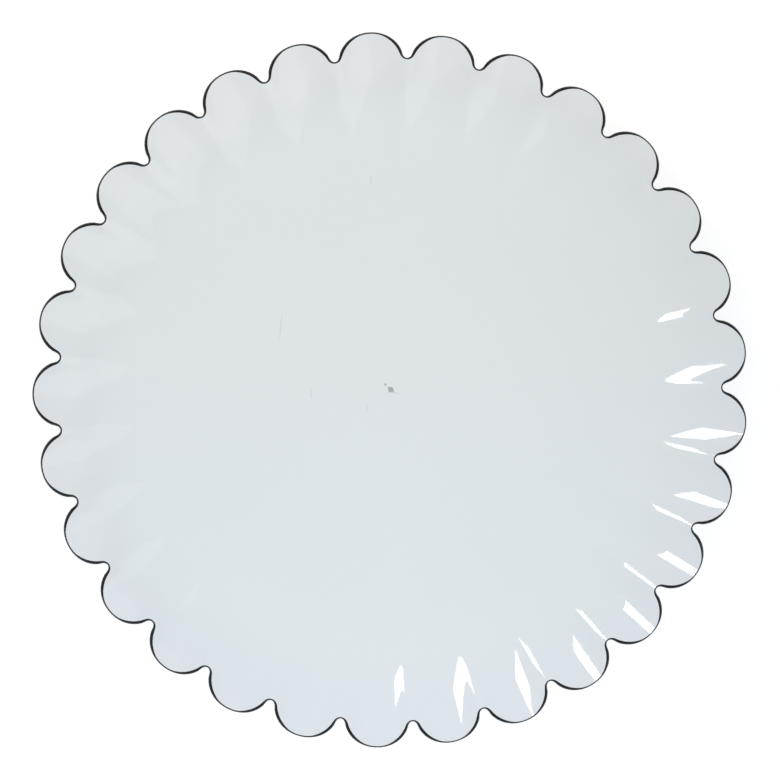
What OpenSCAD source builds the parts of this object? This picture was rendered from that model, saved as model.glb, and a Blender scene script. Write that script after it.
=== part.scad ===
// Scalloped dinner plate: a clear moulded sheet with a flat centre and a rim of scooped
// petals, and the thin dark line that runs along its scalloped edge.
// Millimetres, +Z up. The origin is the centre of the underside, and a petal lies on +X.

/* [Plate] */
// Overall diameter, over the tips of the petals
plate_d = 260; // [245:1:280]
// Thickness of the moulded sheet
wall = 1.6; // [1.2:0.1:1.8]

/* [Petals] */
// Number of petals round the rim
petals = 29; // [27:1:31]
// Depth of the notch between two petals, measured in from the tips
scallop_depth = 9.2; // [8:0.1:10]
// Radius of the rounded notch, on the upper edge
notch_r = 2.8; // [2.4:0.1:3.2]
// Radius of the slightly flattened crown at the tip of a petal
crown_r = 12.5; // [11.5:0.5:16]
// Half of the angle that the crown takes up before the shoulders, in degrees
crown_half = 6; // [3:0.5:9]

/* [Flutes] */
// Radius of the flat centre, where the ridges between the flutes begin to rise
flat_r = 75; // [70:0.5:82]
// How much further out the floor of a flute begins to rise
floor_lag = 2; // [1:0.5:5]
// Rise of a flute's floor from the flat centre to the tip of its petal
tip_rise = 16.6; // [15:0.1:18]
// Rise of a ridge from the flat centre to the notch
notch_rise = 15.2; // [14:0.1:16]
// Share of a flute's half width that is hollow; the rest rounds over the ridge
hollow_share = 0.76; // [0.6:0.01:0.78]

/* [Edge] */
// Lean of the edge with the rim's slope, from upright (0) to square to the sheet (1)
edge_lean = 0.5; // [0.3:0.05:0.8]
// Thickness of the dark line on the edge
line_t = 0.25; // [0.1:0.05:0.4]

/* [Gate mark] */
// Radius of the shallow recess under the centre
gate_r = 2.2; // [1.6:0.1:4]
// Depth of the recess
gate_depth = 0.35; // [0.2:0.05:0.6]
// Radius of the sprue stub left inside the recess
stub_r = 0.9; // [0.5:0.1:1.2]
// Height of the sprue stub, less than the recess is deep
stub_h = 0.2; // [0.1:0.05:0.2]

/* [Hidden] */

clear_tint = [0.86, 0.89, 0.90, 0.6];
line_colour = [0.07, 0.08, 0.08];

// Steps along half a petal: crown and shoulder, then the notch
shoulder_steps = 5;
notch_steps = 2;
half_steps = shoulder_steps + notch_steps;
// Stations round the rim, and rings from the flat centre to the edge
stations = 2 * half_steps * petals;
rings = 6;

pitch = 360 / petals;
pitch_rad = 2 * PI / petals;
floor_r = flat_r + floor_lag;

// The lower edge stands further out than the upper one, by the lean of the edge
tip_slope = 2 * tip_rise / (plate_d / 2 - floor_r);
overhang = wall * sin(atan(edge_lean * tip_slope));
tip_r = plate_d / 2 - overhang - line_t;
notch_reach = tip_r - scallop_depth;

// Upper edge of one petal, as [across, outward]: a crown arc, a shoulder arc tangent to it,
// and a notch arc whose centre lies on the line between two petals
function heading(angle) = [sin(angle), cos(angle)];
notch_centre = (notch_reach + notch_r) * heading(pitch / 2);
crown_centre = [0, tip_r - crown_r];
crown_end = crown_centre + crown_r * heading(crown_half);
to_notch = notch_centre - crown_end;
shoulder_r = (to_notch * to_notch - notch_r * notch_r)
    / (2 * (notch_r - to_notch * heading(crown_half)));
shoulder_centre = crown_end - shoulder_r * heading(crown_half);
to_flank = notch_centre - shoulder_centre;
flank_angle = atan2(to_flank.x, to_flank.y);

// Angle of the edge's outward normal at a step along half a petal, from the petal's axis
function edge_angle(step) =
    step == 0 ? 0
        : step <= shoulder_steps
        ? crown_half + (flank_angle - crown_half) * (step - 1) / (shoulder_steps - 1)
        : flank_angle + (pitch / 2 - flank_angle) * (step - shoulder_steps) / notch_steps;

function half_petal(step) =
    let (angle = edge_angle(step))
    step > shoulder_steps ? notch_centre - notch_r * heading(angle)
        : angle < crown_half ? crown_centre + crown_r * heading(angle)
        : shoulder_centre + shoulder_r * heading(angle);

// Rise of a flute's floor and of the ridge beside it, and their slopes, at radius r
function grown(r, start) = max(r - start, 0);
floor_k = tip_rise / pow(tip_r - floor_r, 2);
ridge_k = notch_rise / pow(notch_reach - flat_r, 2);
function floor_z(r) = floor_k * pow(grown(r, floor_r), 2);
function ridge_z(r) = ridge_k * pow(grown(r, flat_r), 2);
function floor_slope(r) = 2 * floor_k * grown(r, floor_r);
function ridge_slope(r) = 2 * ridge_k * grown(r, flat_r);

// Section across a flute: 0 on its floor, 1 on the ridge, with a hollow arc and a round-over
// that meet on a common tangent. Phase runs from 0 on the floor to 0.5 on the ridge.
hollow_end = hollow_share / 2;
function swell(phase) =
    phase < hollow_end
        ? 2 * pow(phase, 2) / hollow_end
        : 1 - 2 * pow(0.5 - phase, 2) / (0.5 - hollow_end);
function swell_slope(phase) =
    phase < hollow_end
        ? 4 * phase / hollow_end
        : 4 * (0.5 - phase) / (0.5 - hollow_end);

// A station is [azimuth, edge radius, phase, side of the petal, azimuth of the edge normal]
function station(j) =
    let (
        local = j % (2 * half_steps),
        side = local > half_steps ? -1 : 1,
        step = side > 0 ? local : 2 * half_steps - local,
        axis = pitch * (floor(j / (2 * half_steps)) + (side > 0 ? 0 : 1)),
        point = half_petal(step),
        swing = atan2(point.x, point.y)
    )
    [axis + side * swing, norm(point), swing / pitch, side, axis + side * edge_angle(step)];

function ring_r(ring, edge_r) = flat_r + (edge_r - flat_r) * ring / rings;

// Point on the food side of the sheet, and the direction of the sheet's thickness there
function top_point(ring, s) =
    let (
        r = ring_r(ring, s[1]),
        z = wall + floor_z(r) + (ridge_z(r) - floor_z(r)) * swell(s[2])
    )
    [r * cos(s[0]), r * sin(s[0]), z];

function upright(ring, s) =
    let (
        r = ring_r(ring, s[1]),
        share = swell(s[2]),
        climb = floor_slope(r) * (1 - share) + ridge_slope(r) * share,
        sideways = (ridge_z(r) - floor_z(r)) * swell_slope(s[2]) * s[3] / (r * pitch_rad),
        lean = edge_lean * climb,
        normal = [
            -lean * cos(s[0]) + sideways * sin(s[0]),
            -lean * sin(s[0]) - sideways * cos(s[0]),
            1
        ]
    )
    normal / norm(normal);

function under_point(ring, s) = top_point(ring, s) - wall * upright(ring, s);

STATION = [for (j = [0 : stations - 1]) station(j)];

// Two triangles between neighbouring stations of two loops of points
function band(loop_a, loop_b) = [
    for (j = [0 : stations - 1])
        let (
            a = loop_a * stations + j,
            b = loop_b * stations + j,
            a_next = loop_a * stations + (j + 1) % stations,
            b_next = loop_b * stations + (j + 1) % stations
        )
        each [[a, a_next, b_next], [a, b_next, b]]
];

// The moulded sheet: rings of points on the food side from the flat centre out to the edge,
// then back in along the underside, closed by the two flat faces of the centre
module fluted_sheet() {
    points = [
        for (ring = [0 : rings], s = STATION) top_point(ring, s),
        for (ring = [rings : -1 : 0], s = STATION) under_point(ring, s)
    ];
    last_loop = 2 * rings + 1;
    top_face = [for (j = [stations - 1 : -1 : 0]) j];
    under_face = [for (j = [0 : stations - 1]) last_loop * stations + j];
    walls = [for (loop = [0 : last_loop - 1]) each band(loop, loop + 1)];
    polyhedron(points = points, faces = concat([top_face, under_face], walls), convexity = 12);
}

// Shallow round recess with a stub in it, where the plastic flowed into the mould
module gate_recess() {
    below = 1;
    difference() {
        translate([0, 0, -below])
            cylinder(r = gate_r, h = gate_depth + below, $fn = 48);
        translate([0, 0, gate_depth - stub_h])
            cylinder(r = stub_r, h = stub_h + below, $fn = 48);
    }
}

module plate_body() {
    color(clear_tint)
        difference() {
            fluted_sheet();
            gate_recess();
        }
}

// Thin band on the edge face, from the upper edge to the lower one
module edge_line() {
    function outward(s) = line_t * [cos(s[4]), sin(s[4]), 0];
    points = [
        for (s = STATION) top_point(rings, s),
        for (s = STATION) top_point(rings, s) + outward(s),
        for (s = STATION) under_point(rings, s) + outward(s),
        for (s = STATION) under_point(rings, s)
    ];
    walls = [for (loop = [0 : 3]) each band(loop, (loop + 1) % 4)];
    color(line_colour)
        polyhedron(points = points, faces = walls, convexity = 12);
}

plate_body();
edge_line();
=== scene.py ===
# Clear scalloped dinner plate on a white floor, seen from straight above.
import math

import bpy
from mathutils import Matrix, Vector


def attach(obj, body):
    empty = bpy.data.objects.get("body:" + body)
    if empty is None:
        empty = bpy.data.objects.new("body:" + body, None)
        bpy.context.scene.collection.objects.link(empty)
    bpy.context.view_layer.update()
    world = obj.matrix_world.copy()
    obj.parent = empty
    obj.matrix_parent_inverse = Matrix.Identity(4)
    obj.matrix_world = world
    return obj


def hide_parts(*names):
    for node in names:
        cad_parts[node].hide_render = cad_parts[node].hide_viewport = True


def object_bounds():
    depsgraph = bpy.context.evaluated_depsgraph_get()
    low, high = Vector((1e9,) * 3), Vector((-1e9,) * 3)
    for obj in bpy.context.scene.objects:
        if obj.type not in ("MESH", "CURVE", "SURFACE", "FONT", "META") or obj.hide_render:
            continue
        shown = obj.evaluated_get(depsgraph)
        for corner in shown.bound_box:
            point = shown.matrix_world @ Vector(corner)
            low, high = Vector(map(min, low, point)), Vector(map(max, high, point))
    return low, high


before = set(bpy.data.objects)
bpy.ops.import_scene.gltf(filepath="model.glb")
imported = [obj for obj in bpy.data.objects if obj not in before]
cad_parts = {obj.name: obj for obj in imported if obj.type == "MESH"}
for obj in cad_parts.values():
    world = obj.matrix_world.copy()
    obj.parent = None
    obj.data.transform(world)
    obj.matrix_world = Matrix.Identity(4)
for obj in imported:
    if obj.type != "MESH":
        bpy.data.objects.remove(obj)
cad_low, cad_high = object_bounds()

MM = 0.001

# Sizes of the plate, as in the solids
PLATE = {
    "Petals": 29,
    "Tip radius": 129.272 * MM,
    "Scallop depth": 9.2 * MM,
    "Notch radius": 2.8 * MM,
    "Crown radius": 12.5 * MM,
    "Crown half angle": math.radians(6),
    "Flat radius": 75 * MM,
    "Floor lag": 2 * MM,
    "Tip rise": 16.6 * MM,
    "Notch rise": 15.2 * MM,
    "Hollow share": 0.76,
    "Wall": 1.6 * MM,
    "Edge lean": 0.5,
}
GATE = {
    "Gate radius": 2.2 * MM,
    "Gate depth": 0.35 * MM,
    "Stub radius": 0.9 * MM,
    "Stub height": 0.2 * MM,
}
FILM = {
    "Film thickness": 0.265 * MM,
    "Film seat": 0.03 * MM,
    "Film bleed": 0.25 * MM,
}
# Where the film bleeds deeper into the plastic: the shoulders, from 0 on the crown to 1 in the notch
SHOULDER_MIDDLE = 0.47
SHOULDER_HALF = 0.26
# How far the film's inner side stays short of the film's two edges, and more so on the shoulders
SEAT_INSET = 0.1
SHOULDER_INSET = 0.2
MERGE_WITHIN = 0.001 * MM
CREASE_ANGLE = math.radians(32)

# Steps of the mesh: columns over half a petal, and rows from the centre to the edge
SHOULDER_COLUMNS = 10
NOTCH_COLUMNS = 4
FLAT_ROWS = 3
FLUTE_ROWS = 22
EDGE_ROWS = 2
FILM_ROWS = 8
# The column where a shoulder meets its notch counts as shoulder, within this slack
COLUMN_SLACK = 0.001

# Camera: how far it stands from the centre, its lean to the left and up in the picture,
# its turn about the plate, and where it aims
CAMERA_DISTANCE = 1.1
CAMERA_LEAN_LEFT = math.radians(2.36)
CAMERA_LEAN_UP = math.radians(1.34)
CAMERA_TURN = math.radians(5.715)
CAMERA_AIM_DOWN = 0.31 * MM
IMAGE_WIDTH_PX = 780
PIXELS_PER_MM = 2.7146
SENSOR_WIDTH_MM = 36

# Lamps: azimuth in the picture (0 is right, 90 is up), angle from straight up, distance from
# the plate, half width and half height as shares of that distance, and radiance
SOFTBOX = (141.4, 48.3, 2.5, 0.161, 0.136, 6.0)
FILL_PANEL = (-38.0, 53.0, 2.2, 0.63, 0.325, 0.28)

# Studio round the lamps: its level, and how much darker it gets to one side and near the floor.
# Each change starts at a share of the way to that side, or to straight down, and takes a span.
STUDIO_LEVEL = 0.62
SHADE_AZIMUTH = math.radians(205)
SHADE_DROP = 0.15
SHADE_START = 0.05
SHADE_SPAN = 0.75
HORIZON_DROP = 0.18
HORIZON_START = -0.6
HORIZON_SPAN = 0.5

# Floor: its own shade, and the glow that makes it white to the eye, as red, green and blue.
# The glow changes slowly to the right, upward, to both sides and to both ends over half a picture.
FLOOR_GAP = 0.1 * MM
FLOOR_HALF = 4.0
FLOOR_SHADE = 0.86
FLOOR_GLOW = (0.529, 0.531, 0.541)
GLOW_SPAN = 128.8 * MM
GLOW_RIGHT = -0.011
GLOW_UP = (-0.017, -0.033, -0.058)
GLOW_SIDES = -0.052
GLOW_ENDS = 0.015

PLASTIC_TINT = (0.806, 0.836, 0.845)
PLASTIC_IOR = 1.55
# Painted shade: the plastic is coloured a little darker and bluer towards the rim, in place of the
# rim's shade, from this radius, over this span
RIM_PAINTED_SHADE = (0.716, 0.748, 0.771)
RIM_START = 90 * MM
RIM_SPAN = 38 * MM
# Colour of the marks in it (the gate's cut end and the scratches) and of the painted shade of a small
# pit by the gate, and how much its tint varies from place to place
STAIN_AND_PIT_SHADE = (0.42, 0.45, 0.46)
HAZE = 0.01
# Roughness of the polished plastic, and what each kind of mark adds to it
POLISH = 0.012
HAIRLINE_ROUGH = 0.08
SCRATCH_ROUGH = 0.1
GATE_ROUGH = 0.2
# Ripple of the moulding, and the depth of a hairline as a share of it
RIPPLE_HEIGHT = 0.05 * MM
HAIRLINE_DEPTH = 0.05
# Noise: waves to a metre
HAZE_SCALE = 14.0
RIPPLE_SCALE = 70.0
RAGGED_SCALE = 900.0
HAIRLINE_SCALE = (45.0, 2600.0, 45.0)
PATCH_SCALE = 28.0
FILM_WEAR_SCALE = 260.0
# Noise: the level at which it begins to show, and the range over which it comes to full strength
HAIRLINE_LEVEL = (0.70, 0.06)
PATCH_LEVEL = (0.52, 0.12)
FILM_WEAR_LEVEL = (0.45, 0.3)
# Directions of the hairlines, in radians
HAIRLINE_TURNS = (0.35, 1.25, 2.4)

FILM_DARK = (0.008, 0.009, 0.010)
FILM_WORN = (0.022, 0.024, 0.026)
FILM_ROUGH = 0.3
FILM_WEAR_ROUGH = 0.15
FILM_IOR = 1.5
FILM_SPECULAR = 0.15

# Cut end of the sprue, a dark dot beside it that is painted shade of a small pit, and scratches: places
# to the right and up in the picture from the middle, then half a length and a lean from level. All fade
# out at their edges.
CUT_RIGHT = 0.25 * MM
CUT_UP = 0.05 * MM
CUT_HALF = 0.95 * MM
CUT_SLANT = 0.32
CUT_RAGGED = 0.7 * MM
PIT_SHADE_RIGHT = -1.75 * MM
PIT_SHADE_UP = 1.9 * MM
PIT_SHADE_HALF = 0.25 * MM
MARK_FADE = 0.3 * MM
SCRATCHES = (
    (2.5 * MM, -1.25 * MM, 1.1 * MM, math.radians(-26)),
    (-40.2 * MM, 23.4 * MM, 6.0 * MM, math.radians(84)),
    (-29.1 * MM, -1.6 * MM, 2.4 * MM, math.radians(97)),
    (-8.5 * MM, -6.8 * MM, 2.0 * MM, math.radians(90)),
    (-7.0 * MM, 77.0 * MM, 2.4 * MM, math.radians(95)),
)
# A scratch is full over this half width and this share of its length, and stains this much
SCRATCH_CORE = 0.1 * MM
SCRATCH_FADE = 0.2 * MM
SCRATCH_FULL = 0.3
SCRATCH_STAIN = 0.25


class Field:
    """A number in a node tree. Arithmetic on it adds Math nodes to the tree."""

    def __init__(self, tree, socket):
        self.tree = tree
        self.socket = socket

    def __add__(self, other):
        return math_node(self.tree, "ADD", self, other)

    def __sub__(self, other):
        return math_node(self.tree, "SUBTRACT", self, other)

    def __rsub__(self, other):
        return math_node(self.tree, "SUBTRACT", other, self)

    def __mul__(self, other):
        return math_node(self.tree, "MULTIPLY", self, other)

    def __truediv__(self, other):
        return math_node(self.tree, "DIVIDE", self, other)

    def __rtruediv__(self, other):
        return math_node(self.tree, "DIVIDE", other, self)

    def __lt__(self, other):
        return math_node(self.tree, "LESS_THAN", self, other)

    def __gt__(self, other):
        return math_node(self.tree, "GREATER_THAN", self, other)

    def __abs__(self):
        return math_node(self.tree, "ABSOLUTE", self)

    __radd__ = __add__
    __rmul__ = __mul__


def feed(tree, socket, value):
    """Link a field or a socket to an input, or set a plain value on it."""
    if isinstance(value, Field):
        tree.links.new(value.socket, socket)
    elif isinstance(value, bpy.types.NodeSocket):
        tree.links.new(value, socket)
    else:
        socket.default_value = value


def math_node(tree, operation, *values, clamp=False):
    node = tree.nodes.new("ShaderNodeMath")
    node.operation = operation
    node.use_clamp = clamp
    for socket, value in zip(node.inputs, values):
        feed(tree, socket, value)
    return Field(tree, node.outputs[0])


def sin(field):
    return math_node(field.tree, "SINE", field)


def cos(field):
    return math_node(field.tree, "COSINE", field)


def sqrt(field):
    return math_node(field.tree, "SQRT", field)


def arctan2(rise, run):
    return math_node(rise.tree, "ARCTAN2", rise, run)


def at_least_zero(field):
    return math_node(field.tree, "MAXIMUM", field, 0.0)


def pick(condition, then, otherwise):
    """then where the condition is 1, otherwise where it is 0."""
    return otherwise + (then - otherwise) * condition


def ramp(field, start, length):
    """0 before start, rising to 1 over length, and 1 after it."""
    return math_node(field.tree, "DIVIDE", field - start, length, clamp=True)


def along(tree, vector, direction):
    """How far a vector reaches along a direction."""
    dot = tree.nodes.new("ShaderNodeVectorMath")
    dot.operation = "DOT_PRODUCT"
    tree.links.new(vector, dot.inputs[0])
    dot.inputs[1].default_value = direction
    return Field(tree, dot.outputs["Value"])


def add_node(tree, kind, **inputs):
    """A node with its inputs set by name, with spaces written as underscores."""
    node = tree.nodes.new(kind)
    for name, value in inputs.items():
        feed(tree, node.inputs[name.replace("_", " ")], value)
    return node


def petal_column(size, across):
    """A column of the petal that across (-0.5 to 0.5) names, from its crown to its notches."""
    shoulder_share = SHOULDER_COLUMNS / (SHOULDER_COLUMNS + NOTCH_COLUMNS)
    half_pitch = math.pi / size["Petals"]
    turn = size["Crown half angle"]
    notch_r = size["Notch radius"]
    notch_out = size["Tip radius"] - size["Scallop depth"] + notch_r
    notch_x = notch_out * sin(half_pitch)
    notch_y = notch_out * cos(half_pitch)
    crown_r = size["Crown radius"]
    crown_y = size["Tip radius"] - crown_r
    to_x = notch_x - crown_r * sin(turn)
    to_y = notch_y - crown_y - crown_r * cos(turn)
    shoulder_r = (to_x * to_x + to_y * to_y - notch_r * notch_r) / (
        (notch_r - to_x * sin(turn) - to_y * cos(turn)) * 2
    )
    shoulder_x = (crown_r - shoulder_r) * sin(turn)
    shoulder_y = crown_y + (crown_r - shoulder_r) * cos(turn)
    flank = arctan2(notch_x - shoulder_x, notch_y - shoulder_y)

    step = abs(across) * 2
    in_notch = step > shoulder_share + COLUMN_SLACK
    into_notch = (step - shoulder_share) / (1 - shoulder_share)
    angle = pick(in_notch, flank + (half_pitch - flank) * into_notch, flank * step / shoulder_share)
    in_crown = angle < turn
    rounded_x = pick(in_crown, crown_r * sin(angle), shoulder_x + shoulder_r * sin(angle))
    rounded_y = pick(in_crown, crown_y + crown_r * cos(angle), shoulder_y + shoulder_r * cos(angle))
    x = pick(in_notch, notch_x - notch_r * sin(angle), rounded_x)
    y = pick(in_notch, notch_y - notch_r * cos(angle), rounded_y)
    swing = arctan2(x, y)
    side = math_node(across.tree, "SIGN", across)
    return {
        "edge": sqrt(x * x + y * y),
        "phase": swing / half_pitch / 2,
        "side": side,
        "azimuth": side * swing,
        "facing": side * angle,
    }


def sheet_rise(size, column, radius):
    """How high the food side stands above the flat centre, and its slopes outward and sideways."""
    floor_r = size["Flat radius"] + size["Floor lag"]
    floor_run = size["Tip radius"] - floor_r
    ridge_run = size["Tip radius"] - size["Scallop depth"] - size["Flat radius"]
    floor_k = size["Tip rise"] / (floor_run * floor_run)
    ridge_k = size["Notch rise"] / (ridge_run * ridge_run)
    floor_out = at_least_zero(radius - floor_r)
    ridge_out = at_least_zero(radius - size["Flat radius"])
    floor_z = floor_k * floor_out * floor_out
    flute_z = ridge_k * ridge_out * ridge_out - floor_z

    phase = column["phase"]
    hollow_end = size["Hollow share"] / 2
    crest = 0.5 - hollow_end
    to_crest = 0.5 - phase
    in_hollow = phase < hollow_end
    swell = pick(in_hollow, phase * phase / hollow_end * 2, 1 - to_crest * to_crest / crest * 2)
    swell_slope = pick(in_hollow, phase / hollow_end * 4, to_crest / crest * 4)
    climb = (floor_k * floor_out * (1 - swell) + ridge_k * ridge_out * swell) * 2
    sideways = flute_z * swell_slope * column["side"] * size["Petals"] / (radius * math.tau)
    return floor_z + flute_z * swell, climb, sideways


def sheet_point(size, column, radius, depth):
    """Point on a column at a radius, at a depth in the sheet from 0 (food side) to 1 (underside)."""
    rise, climb, sideways = sheet_rise(size, column, radius)
    lean = size["Edge lean"] * climb
    length = sqrt(lean * lean + sideways * sideways + 1)
    sunk = size["Wall"] * depth / length
    outward = radius + sunk * lean
    shift = sunk * sideways
    ca = cos(column["azimuth"])
    sa = sin(column["azimuth"])
    return outward * ca - shift * sa, outward * sa + shift * ca, size["Wall"] + rise - sunk


def new_shape_tree(name, sizes):
    """An empty geometry tree with one named input for each size, and fields that read them."""
    tree = bpy.data.node_groups.new(name, "GeometryNodeTree")
    sockets = {}
    for label, value in sizes.items():
        kind = "NodeSocketInt" if isinstance(value, int) else "NodeSocketFloat"
        sockets[label] = tree.interface.new_socket(label, in_out="INPUT", socket_type=kind)
    finish = tree.interface.new_socket("Finish", in_out="INPUT", socket_type="NodeSocketMaterial")
    tree.interface.new_socket("Geometry", in_out="OUTPUT", socket_type="NodeSocketGeometry")
    group_in = tree.nodes.new("NodeGroupInput")
    fields = {label: Field(tree, group_in.outputs[label]) for label in sizes}
    return tree, fields, {**sockets, "Finish": finish}, group_in.outputs["Finish"]


def petal_grid(tree, rows):
    """A grid with one column for each step across a petal; gives it, its across and its row."""
    grid = add_node(
        tree, "GeometryNodeMeshGrid", Size_X=1.0, Size_Y=1.0,
        Vertices_X=2 * (SHOULDER_COLUMNS + NOTCH_COLUMNS) + 1, Vertices_Y=rows + 1,
    )
    position = tree.nodes.new("GeometryNodeInputPosition")
    apart = add_node(tree, "ShaderNodeSeparateXYZ", Vector=position.outputs[0])
    across = Field(tree, apart.outputs["X"])
    row = (0.5 - Field(tree, apart.outputs["Y"])) * rows
    return grid.outputs["Mesh"], across, row


def ring_of_petals(tree, mesh, point, petals, finish):
    """Puts the grid's points in place, turns the petal into a full ring and joins the seams."""
    place = add_node(tree, "ShaderNodeCombineXYZ", X=point[0], Y=point[1], Z=point[2])
    petal = add_node(tree, "GeometryNodeSetPosition", Geometry=mesh, Position=place.outputs[0])
    index = Field(tree, tree.nodes.new("GeometryNodeInputIndex").outputs[0])
    turn = add_node(tree, "ShaderNodeCombineXYZ", Z=index * (math.tau / petals))
    centres = add_node(tree, "GeometryNodePoints", Count=petals)
    ring = add_node(
        tree, "GeometryNodeInstanceOnPoints", Points=centres.outputs[0],
        Instance=petal.outputs[0], Rotation=turn.outputs[0],
    )
    solid = add_node(tree, "GeometryNodeRealizeInstances", Geometry=ring.outputs[0])
    joined = add_node(
        tree, "GeometryNodeMergeByDistance", Geometry=solid.outputs[0], Distance=MERGE_WITHIN,
    )
    bend = tree.nodes.new("GeometryNodeInputMeshEdgeAngle")
    crease = Field(tree, bend.outputs["Unsigned Angle"]) > CREASE_ANGLE
    smooth = add_node(tree, "GeometryNodeSetShadeSmooth", Geometry=joined.outputs[0])
    creased = tree.nodes.new("GeometryNodeSetShadeSmooth")
    creased.domain = "EDGE"
    feed(tree, creased.inputs["Geometry"], smooth.outputs[0])
    feed(tree, creased.inputs["Selection"], crease)
    creased.inputs["Shade Smooth"].default_value = False
    painted = add_node(
        tree, "GeometryNodeSetMaterial", Geometry=creased.outputs[0], Material=finish,
    )
    out = tree.nodes.new("NodeGroupOutput")
    tree.links.new(painted.outputs[0], out.inputs[0])


def sheet_tree():
    """The moulded sheet: out along the food side, round the edge, and back to the gate mark."""
    tree, size, sockets, finish = new_shape_tree("fluted_sheet", {**PLATE, **GATE})
    underside = FLAT_ROWS + FLUTE_ROWS + EDGE_ROWS
    gate = underside + FLUTE_ROWS + FLAT_ROWS
    mesh, across, row = petal_grid(tree, gate + 4)
    column = petal_column(size, across)
    flute = ramp(row, FLAT_ROWS, FLUTE_ROWS) - ramp(row, underside, FLUTE_ROWS)
    depth = ramp(row, FLAT_ROWS + FLUTE_ROWS, EDGE_ROWS)
    back = ramp(row, underside + FLUTE_ROWS, FLAT_ROWS)
    gate_wall, gate_floor, stub_wall, stub_face = (ramp(row, gate + i, 1) for i in range(4))
    radius = (
        size["Flat radius"] * ramp(row, 0, FLAT_ROWS)
        + (column["edge"] - size["Flat radius"]) * flute
        - (size["Flat radius"] - size["Gate radius"]) * back
        - (size["Gate radius"] - size["Stub radius"]) * gate_floor
        - size["Stub radius"] * stub_face
    )
    x, y, z = sheet_point(size, column, radius, depth)
    z = z + size["Gate depth"] * gate_wall - size["Stub height"] * stub_wall
    ring_of_petals(tree, mesh, (x, y, z), size["Petals"], finish)
    return tree, sockets


def film_tree():
    """The dark line: a thin film over the edge face, seated just inside the plastic."""
    tree, size, sockets, finish = new_shape_tree("edge_film", {**PLATE, **FILM})
    seat_rows = 2
    mesh, across, row = petal_grid(tree, FILM_ROWS + seat_rows + 2)
    column = petal_column(size, across)
    seated = ramp(row, FILM_ROWS, 1) - ramp(row, FILM_ROWS + 1 + seat_rows, 1)
    run = ramp(row, 0, FILM_ROWS) - ramp(row, FILM_ROWS + 1, seat_rows)
    off_shoulder = (abs(across) * 2 - SHOULDER_MIDDLE) / SHOULDER_HALF
    shoulder = at_least_zero(1 - off_shoulder * off_shoulder)
    depth = 0.5 - 0.5 * cos(run * math.pi) * (1 - (SEAT_INSET + SHOULDER_INSET * shoulder) * seated)
    off_middle = depth * 2 - 1
    square = off_middle * off_middle
    rounding = square * square * square * square
    proud = size["Film thickness"] * (1 - rounding) * (1 - seated)
    x, y, z = sheet_point(size, column, column["edge"], depth)
    out = proud - (size["Film seat"] + size["Film bleed"] * shoulder) * seated
    x = x + out * cos(column["facing"])
    y = y + out * sin(column["facing"])
    ring_of_petals(tree, mesh, (x, y, z), size["Petals"], finish)
    return tree, sockets


def grow(name, tree, sockets, sizes, material):
    """A plain mesh object from a geometry tree, with the tree's inputs set by identifier."""
    piece = bpy.data.objects.new(name, bpy.data.meshes.new(name))
    bpy.context.scene.collection.objects.link(piece)
    modifier = piece.modifiers.new("shape", "NODES")
    modifier.node_group = tree
    for label, value in sizes.items():
        modifier[sockets[label].identifier] = value
    modifier[sockets["Finish"].identifier] = material
    graph = bpy.context.evaluated_depsgraph_get()
    mesh = bpy.data.meshes.new_from_object(piece.evaluated_get(graph))
    piece.modifiers.remove(modifier)
    piece.data = mesh
    mesh.name = name
    return piece


def new_material(name):
    material = bpy.data.materials.new(name)
    material.use_nodes = True
    tree = material.node_tree
    tree.nodes.clear()
    out = tree.nodes.new("ShaderNodeOutputMaterial")
    return material, tree, out


def stretched_noise(tree, place, turn, scale):
    """Noise on turned and stretched object coordinates."""
    mapping = add_node(
        tree, "ShaderNodeMapping", Vector=place, Rotation=(0.0, 0.0, turn), Scale=scale,
    )
    noise = add_node(tree, "ShaderNodeTexNoise", Vector=mapping.outputs[0], Scale=1.0, Detail=1.0)
    return Field(tree, noise.outputs["Fac"])


def even_noise(tree, place, scale):
    return stretched_noise(tree, place, 0.0, (scale, scale, scale))


def hairlines(tree, place):
    """Sparse fine scratches in a few directions, from 0 to 1."""
    lines = None
    for turn in HAIRLINE_TURNS:
        streak = ramp(stretched_noise(tree, place, turn, HAIRLINE_SCALE), *HAIRLINE_LEVEL)
        lines = streak if lines is None else lines + streak
    patches = ramp(even_noise(tree, place, PATCH_SCALE), *PATCH_LEVEL)
    return lines * patches


def scratch(right, up, across, rise, half_length, lean):
    """A short straight mark from 0 to 1, with its middle, half length and lean given in the picture."""
    along_it = (right - across) * math.cos(lean) + (up - rise) * math.sin(lean)
    off_it = (up - rise) * math.cos(lean) - (right - across) * math.sin(lean)
    thin = 1 - ramp(abs(off_it), SCRATCH_CORE, SCRATCH_FADE)
    full = half_length * SCRATCH_FULL
    return thin * (1 - ramp(abs(along_it), full, half_length - full))


def gate_marks(right, up, ragged):
    """The slanted cut end of the sprue, and a dark dot beside it painted as the shade of a small pit,
    from 0 to 1.
    """
    slanted = abs(right - CUT_RIGHT + (up - CUT_UP) * CUT_SLANT)
    cut = math_node(right.tree, "MAXIMUM", slanted, abs(up - CUT_UP)) + ragged * CUT_RAGGED
    # Painted shade: a dark dot for the shaded side of a small pit on the gate recess's rim
    pit_shade_x = right - PIT_SHADE_RIGHT
    pit_shade_y = up - PIT_SHADE_UP
    pit_shade = sqrt(pit_shade_x * pit_shade_x + pit_shade_y * pit_shade_y)
    off_cut = ramp(cut, CUT_HALF - MARK_FADE / 2, MARK_FADE)
    return 1 - off_cut * ramp(pit_shade, PIT_SHADE_HALF, MARK_FADE)


def mixed_colour(tree, factor, first, second):
    """A colour between two, each given as red, green and blue or as a socket."""
    mix = tree.nodes.new("ShaderNodeMix")
    mix.data_type = "RGBA"
    feed(tree, mix.inputs["Factor"], factor)
    for socket, colour in ((mix.inputs[6], first), (mix.inputs[7], second)):
        feed(tree, socket, (*colour, 1.0) if isinstance(colour, tuple) else colour)
    return mix.outputs[2]


def dimmed(colour, share):
    return tuple(part * share for part in colour)


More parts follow.
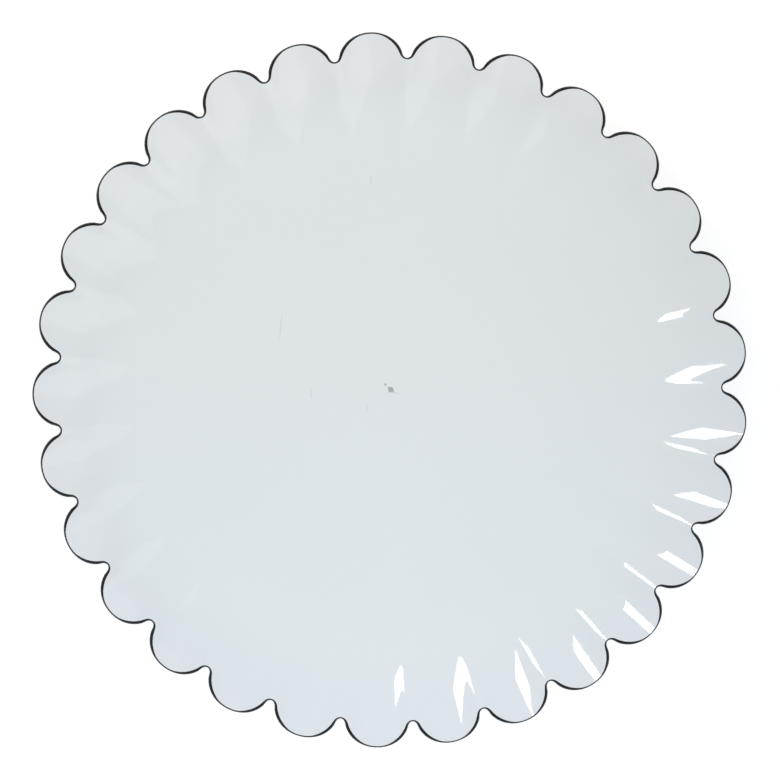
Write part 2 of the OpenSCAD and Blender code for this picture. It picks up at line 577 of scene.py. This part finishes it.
def clear_plastic():
    """Polished clear plastic, faint grey-blue tint, a few scratches, a milky gate mark, painted pit
    shade and painted rim shade.
    """
    material, tree, out = new_material("clear_plastic")
    place = tree.nodes.new("ShaderNodeTexCoord").outputs["Object"]
    right = along(tree, place, in_picture(0.0, math.pi / 2))
    up = along(tree, place, in_picture(math.pi / 2, math.pi / 2))
    # Mask of the gate's cut end, plus the painted shade of a small pit beside it
    gate_cut_and_pit_shade = gate_marks(right, up, even_noise(tree, place, RAGGED_SCALE) - 0.5)
    wear = hairlines(tree, place)
    scratches = 0
    for mark in SCRATCHES:
        scratches = scratch(right, up, *mark) + scratches
    haze = even_noise(tree, place, HAZE_SCALE)

    # Painted shade: a mask that rises towards the rim, where the tint is darkened and blued
    rim = ramp(sqrt(right * right + up * up), RIM_START, RIM_SPAN)
    tint = mixed_colour(tree, haze, dimmed(PLASTIC_TINT, 1 - HAZE), dimmed(PLASTIC_TINT, 1 + HAZE))
    # Painted shade at the rim, mixed into the plastic's tint
    tint = mixed_colour(tree, rim * rim, tint, RIM_PAINTED_SHADE)
    # The gate's cut end and the scratches are real marks; the dot beside the gate is painted shade
    tint = mixed_colour(tree, gate_cut_and_pit_shade + scratches * SCRATCH_STAIN, tint, STAIN_AND_PIT_SHADE)

    height = even_noise(tree, place, RIPPLE_SCALE) - wear * HAIRLINE_DEPTH
    bump = add_node(tree, "ShaderNodeBump", Strength=1.0, Distance=RIPPLE_HEIGHT, Height=height)
    rough = POLISH + wear * HAIRLINE_ROUGH + scratches * SCRATCH_ROUGH + gate_cut_and_pit_shade * GATE_ROUGH
    shine = add_node(
        tree, "ShaderNodeBsdfPrincipled", Base_Color=tint, Roughness=rough, IOR=PLASTIC_IOR,
        Transmission_Weight=1.0, Normal=bump.outputs[0],
    )
    let_lamps_through(tree, shine.outputs[0], out)
    return material


def let_lamps_through(tree, shader, out):
    """Lets lamps and the floor's own light pass the plastic, with its tint."""
    clear = add_node(tree, "ShaderNodeBsdfTransparent", Color=(*PLASTIC_TINT, 1.0))
    rays = tree.nodes.new("ShaderNodeLightPath")
    for kind in ("Is Diffuse Ray", "Is Shadow Ray"):
        mixed = tree.nodes.new("ShaderNodeMixShader")
        tree.links.new(rays.outputs[kind], mixed.inputs[0])
        tree.links.new(shader, mixed.inputs[1])
        tree.links.new(clear.outputs[0], mixed.inputs[2])
        shader = mixed.outputs[0]
    tree.links.new(shader, out.inputs["Surface"])


def dark_edge():
    """Near-black gloss film with a little wear."""
    material, tree, out = new_material("dark_edge")
    place = tree.nodes.new("ShaderNodeTexCoord").outputs["Object"]
    wear = ramp(even_noise(tree, place, FILM_WEAR_SCALE), *FILM_WEAR_LEVEL)
    shine = add_node(
        tree, "ShaderNodeBsdfPrincipled", Base_Color=mixed_colour(tree, wear, FILM_DARK, FILM_WORN),
        Roughness=FILM_ROUGH + wear * FILM_WEAR_ROUGH, IOR=FILM_IOR,
        Specular_IOR_Level=FILM_SPECULAR,
    )
    tree.links.new(shine.outputs[0], out.inputs["Surface"])
    return material


def across_picture(tree, place, azimuth):
    """Place along a direction in the picture, from -1 to 1 over the glow's span."""
    reach = along(tree, place, in_picture(azimuth, math.pi / 2))
    return ramp(reach, -GLOW_SPAN, 2 * GLOW_SPAN) * 2 - 1


def floor_white():
    """Pale floor that keeps a shadow, and is white to the eye and through the plastic."""
    material, tree, out = new_material("floor_white")
    rays = tree.nodes.new("ShaderNodeLightPath")
    seen = Field(tree, rays.outputs["Is Camera Ray"])
    for kind in ("Is Glossy Ray", "Is Transmission Ray"):
        seen = math_node(tree, "MAXIMUM", seen, Field(tree, rays.outputs[kind]))
    place = tree.nodes.new("ShaderNodeTexCoord").outputs["Object"]
    right = across_picture(tree, place, 0.0)
    up = across_picture(tree, place, math.pi / 2)
    drift = right * GLOW_RIGHT + right * right * GLOW_SIDES + up * up * GLOW_ENDS
    colour = tree.nodes.new("ShaderNodeCombineColor")
    for socket, level, climb in zip(colour.inputs, FLOOR_GLOW, GLOW_UP):
        feed(tree, socket, level + up * climb + drift)
    matt = add_node(tree, "ShaderNodeBsdfDiffuse", Color=(FLOOR_SHADE,) * 3 + (1.0,))
    glow = add_node(tree, "ShaderNodeEmission", Color=colour.outputs[0], Strength=seen)
    both = tree.nodes.new("ShaderNodeAddShader")
    tree.links.new(matt.outputs[0], both.inputs[0])
    tree.links.new(glow.outputs[0], both.inputs[1])
    tree.links.new(both.outputs[0], out.inputs["Surface"])
    return material


def in_picture(azimuth, zenith):
    """Unit vector towards a direction given as it lies in the picture."""
    turned = azimuth + CAMERA_TURN
    flat = math.sin(zenith)
    return Vector((flat * math.cos(turned), flat * math.sin(turned), math.cos(zenith)))


def make_camera():
    data = bpy.data.cameras.new("camera")
    camera = bpy.data.objects.new("camera", data)
    bpy.context.scene.collection.objects.link(camera)
    right = in_picture(0.0, math.pi / 2)
    up = in_picture(math.pi / 2, math.pi / 2)
    tilt = -math.sin(CAMERA_LEAN_LEFT) * right + math.sin(CAMERA_LEAN_UP) * up
    back = (tilt + Vector((0, 0, math.sqrt(1 - tilt.length_squared)))).normalized()
    camera_right = up.cross(back).normalized()
    camera_up = back.cross(camera_right)
    turned = Matrix((camera_right, camera_up, back)).transposed().to_4x4()
    spot = back * CAMERA_DISTANCE - camera_up * CAMERA_AIM_DOWN
    camera.matrix_world = Matrix.Translation(spot) @ turned
    view_width_mm = IMAGE_WIDTH_PX / PIXELS_PER_MM
    data.sensor_fit = "HORIZONTAL"
    data.sensor_width = SENSOR_WIDTH_MM
    data.lens = SENSOR_WIDTH_MM * CAMERA_DISTANCE / (view_width_mm * MM)
    bpy.context.scene.camera = camera


def make_lamp(name, azimuth, zenith, distance, half_width, half_height, radiance):
    """A flat panel lamp that faces the middle of the plate."""
    data = bpy.data.lights.new(name, "AREA")
    data.shape = "RECTANGLE"
    data.size = 2 * distance * half_width
    data.size_y = 2 * distance * half_height
    data.energy = radiance * math.pi * data.size * data.size_y
    lamp = bpy.data.objects.new(name, data)
    bpy.context.scene.collection.objects.link(lamp)
    direction = in_picture(math.radians(azimuth), math.radians(zenith))
    across = Vector((0, 0, 1)).cross(direction).normalized()
    turned = Matrix((across, direction.cross(across), direction)).transposed().to_4x4()
    lamp.matrix_world = Matrix.Translation(direction * distance) @ turned


def make_studio():
    """World of one soft level that falls off to one side and towards the floor."""
    world = bpy.data.worlds.new("studio")
    world.use_nodes = True
    bpy.context.scene.world = world
    tree = world.node_tree
    tree.nodes.clear()
    ray = tree.nodes.new("ShaderNodeTexCoord").outputs["Generated"]
    sideways = along(tree, ray, in_picture(SHADE_AZIMUTH, math.pi / 2))
    shaded = ramp(sideways, SHADE_START, SHADE_SPAN)
    low_down = ramp(along(tree, ray, Vector((0, 0, -1))), HORIZON_START, HORIZON_SPAN)
    level = STUDIO_LEVEL - shaded * SHADE_DROP - low_down * HORIZON_DROP
    sky = add_node(tree, "ShaderNodeBackground", Color=(1.0, 1.0, 1.0, 1.0), Strength=level)
    out = tree.nodes.new("ShaderNodeOutputWorld")
    tree.links.new(sky.outputs[0], out.inputs["Surface"])


def make_floor():
    corners = [(-1, -1), (1, -1), (1, 1), (-1, 1)]
    mesh = bpy.data.meshes.new("floor")
    points = [(x * FLOOR_HALF, y * FLOOR_HALF, cad_low.z - FLOOR_GAP) for x, y in corners]
    mesh.from_pydata(points, [], [(0, 1, 2, 3)])
    mesh.materials.append(floor_white())
    floor = bpy.data.objects.new("floor", mesh)
    bpy.context.scene.collection.objects.link(floor)


def make_plate():
    sheet = grow("fluted_sheet", *sheet_tree(), {**PLATE, **GATE}, clear_plastic())
    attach(sheet, "root")
    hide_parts("plate_body")
    film = grow("edge_film", *film_tree(), {**PLATE, **FILM}, dark_edge())
    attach(film, "root")
    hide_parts("edge_line")


bpy.context.scene.view_settings.view_transform = "Standard"
make_camera()
make_studio()
make_lamp("softbox", *SOFTBOX)
make_lamp("fill_panel", *FILL_PANEL)
make_floor()
make_plate()
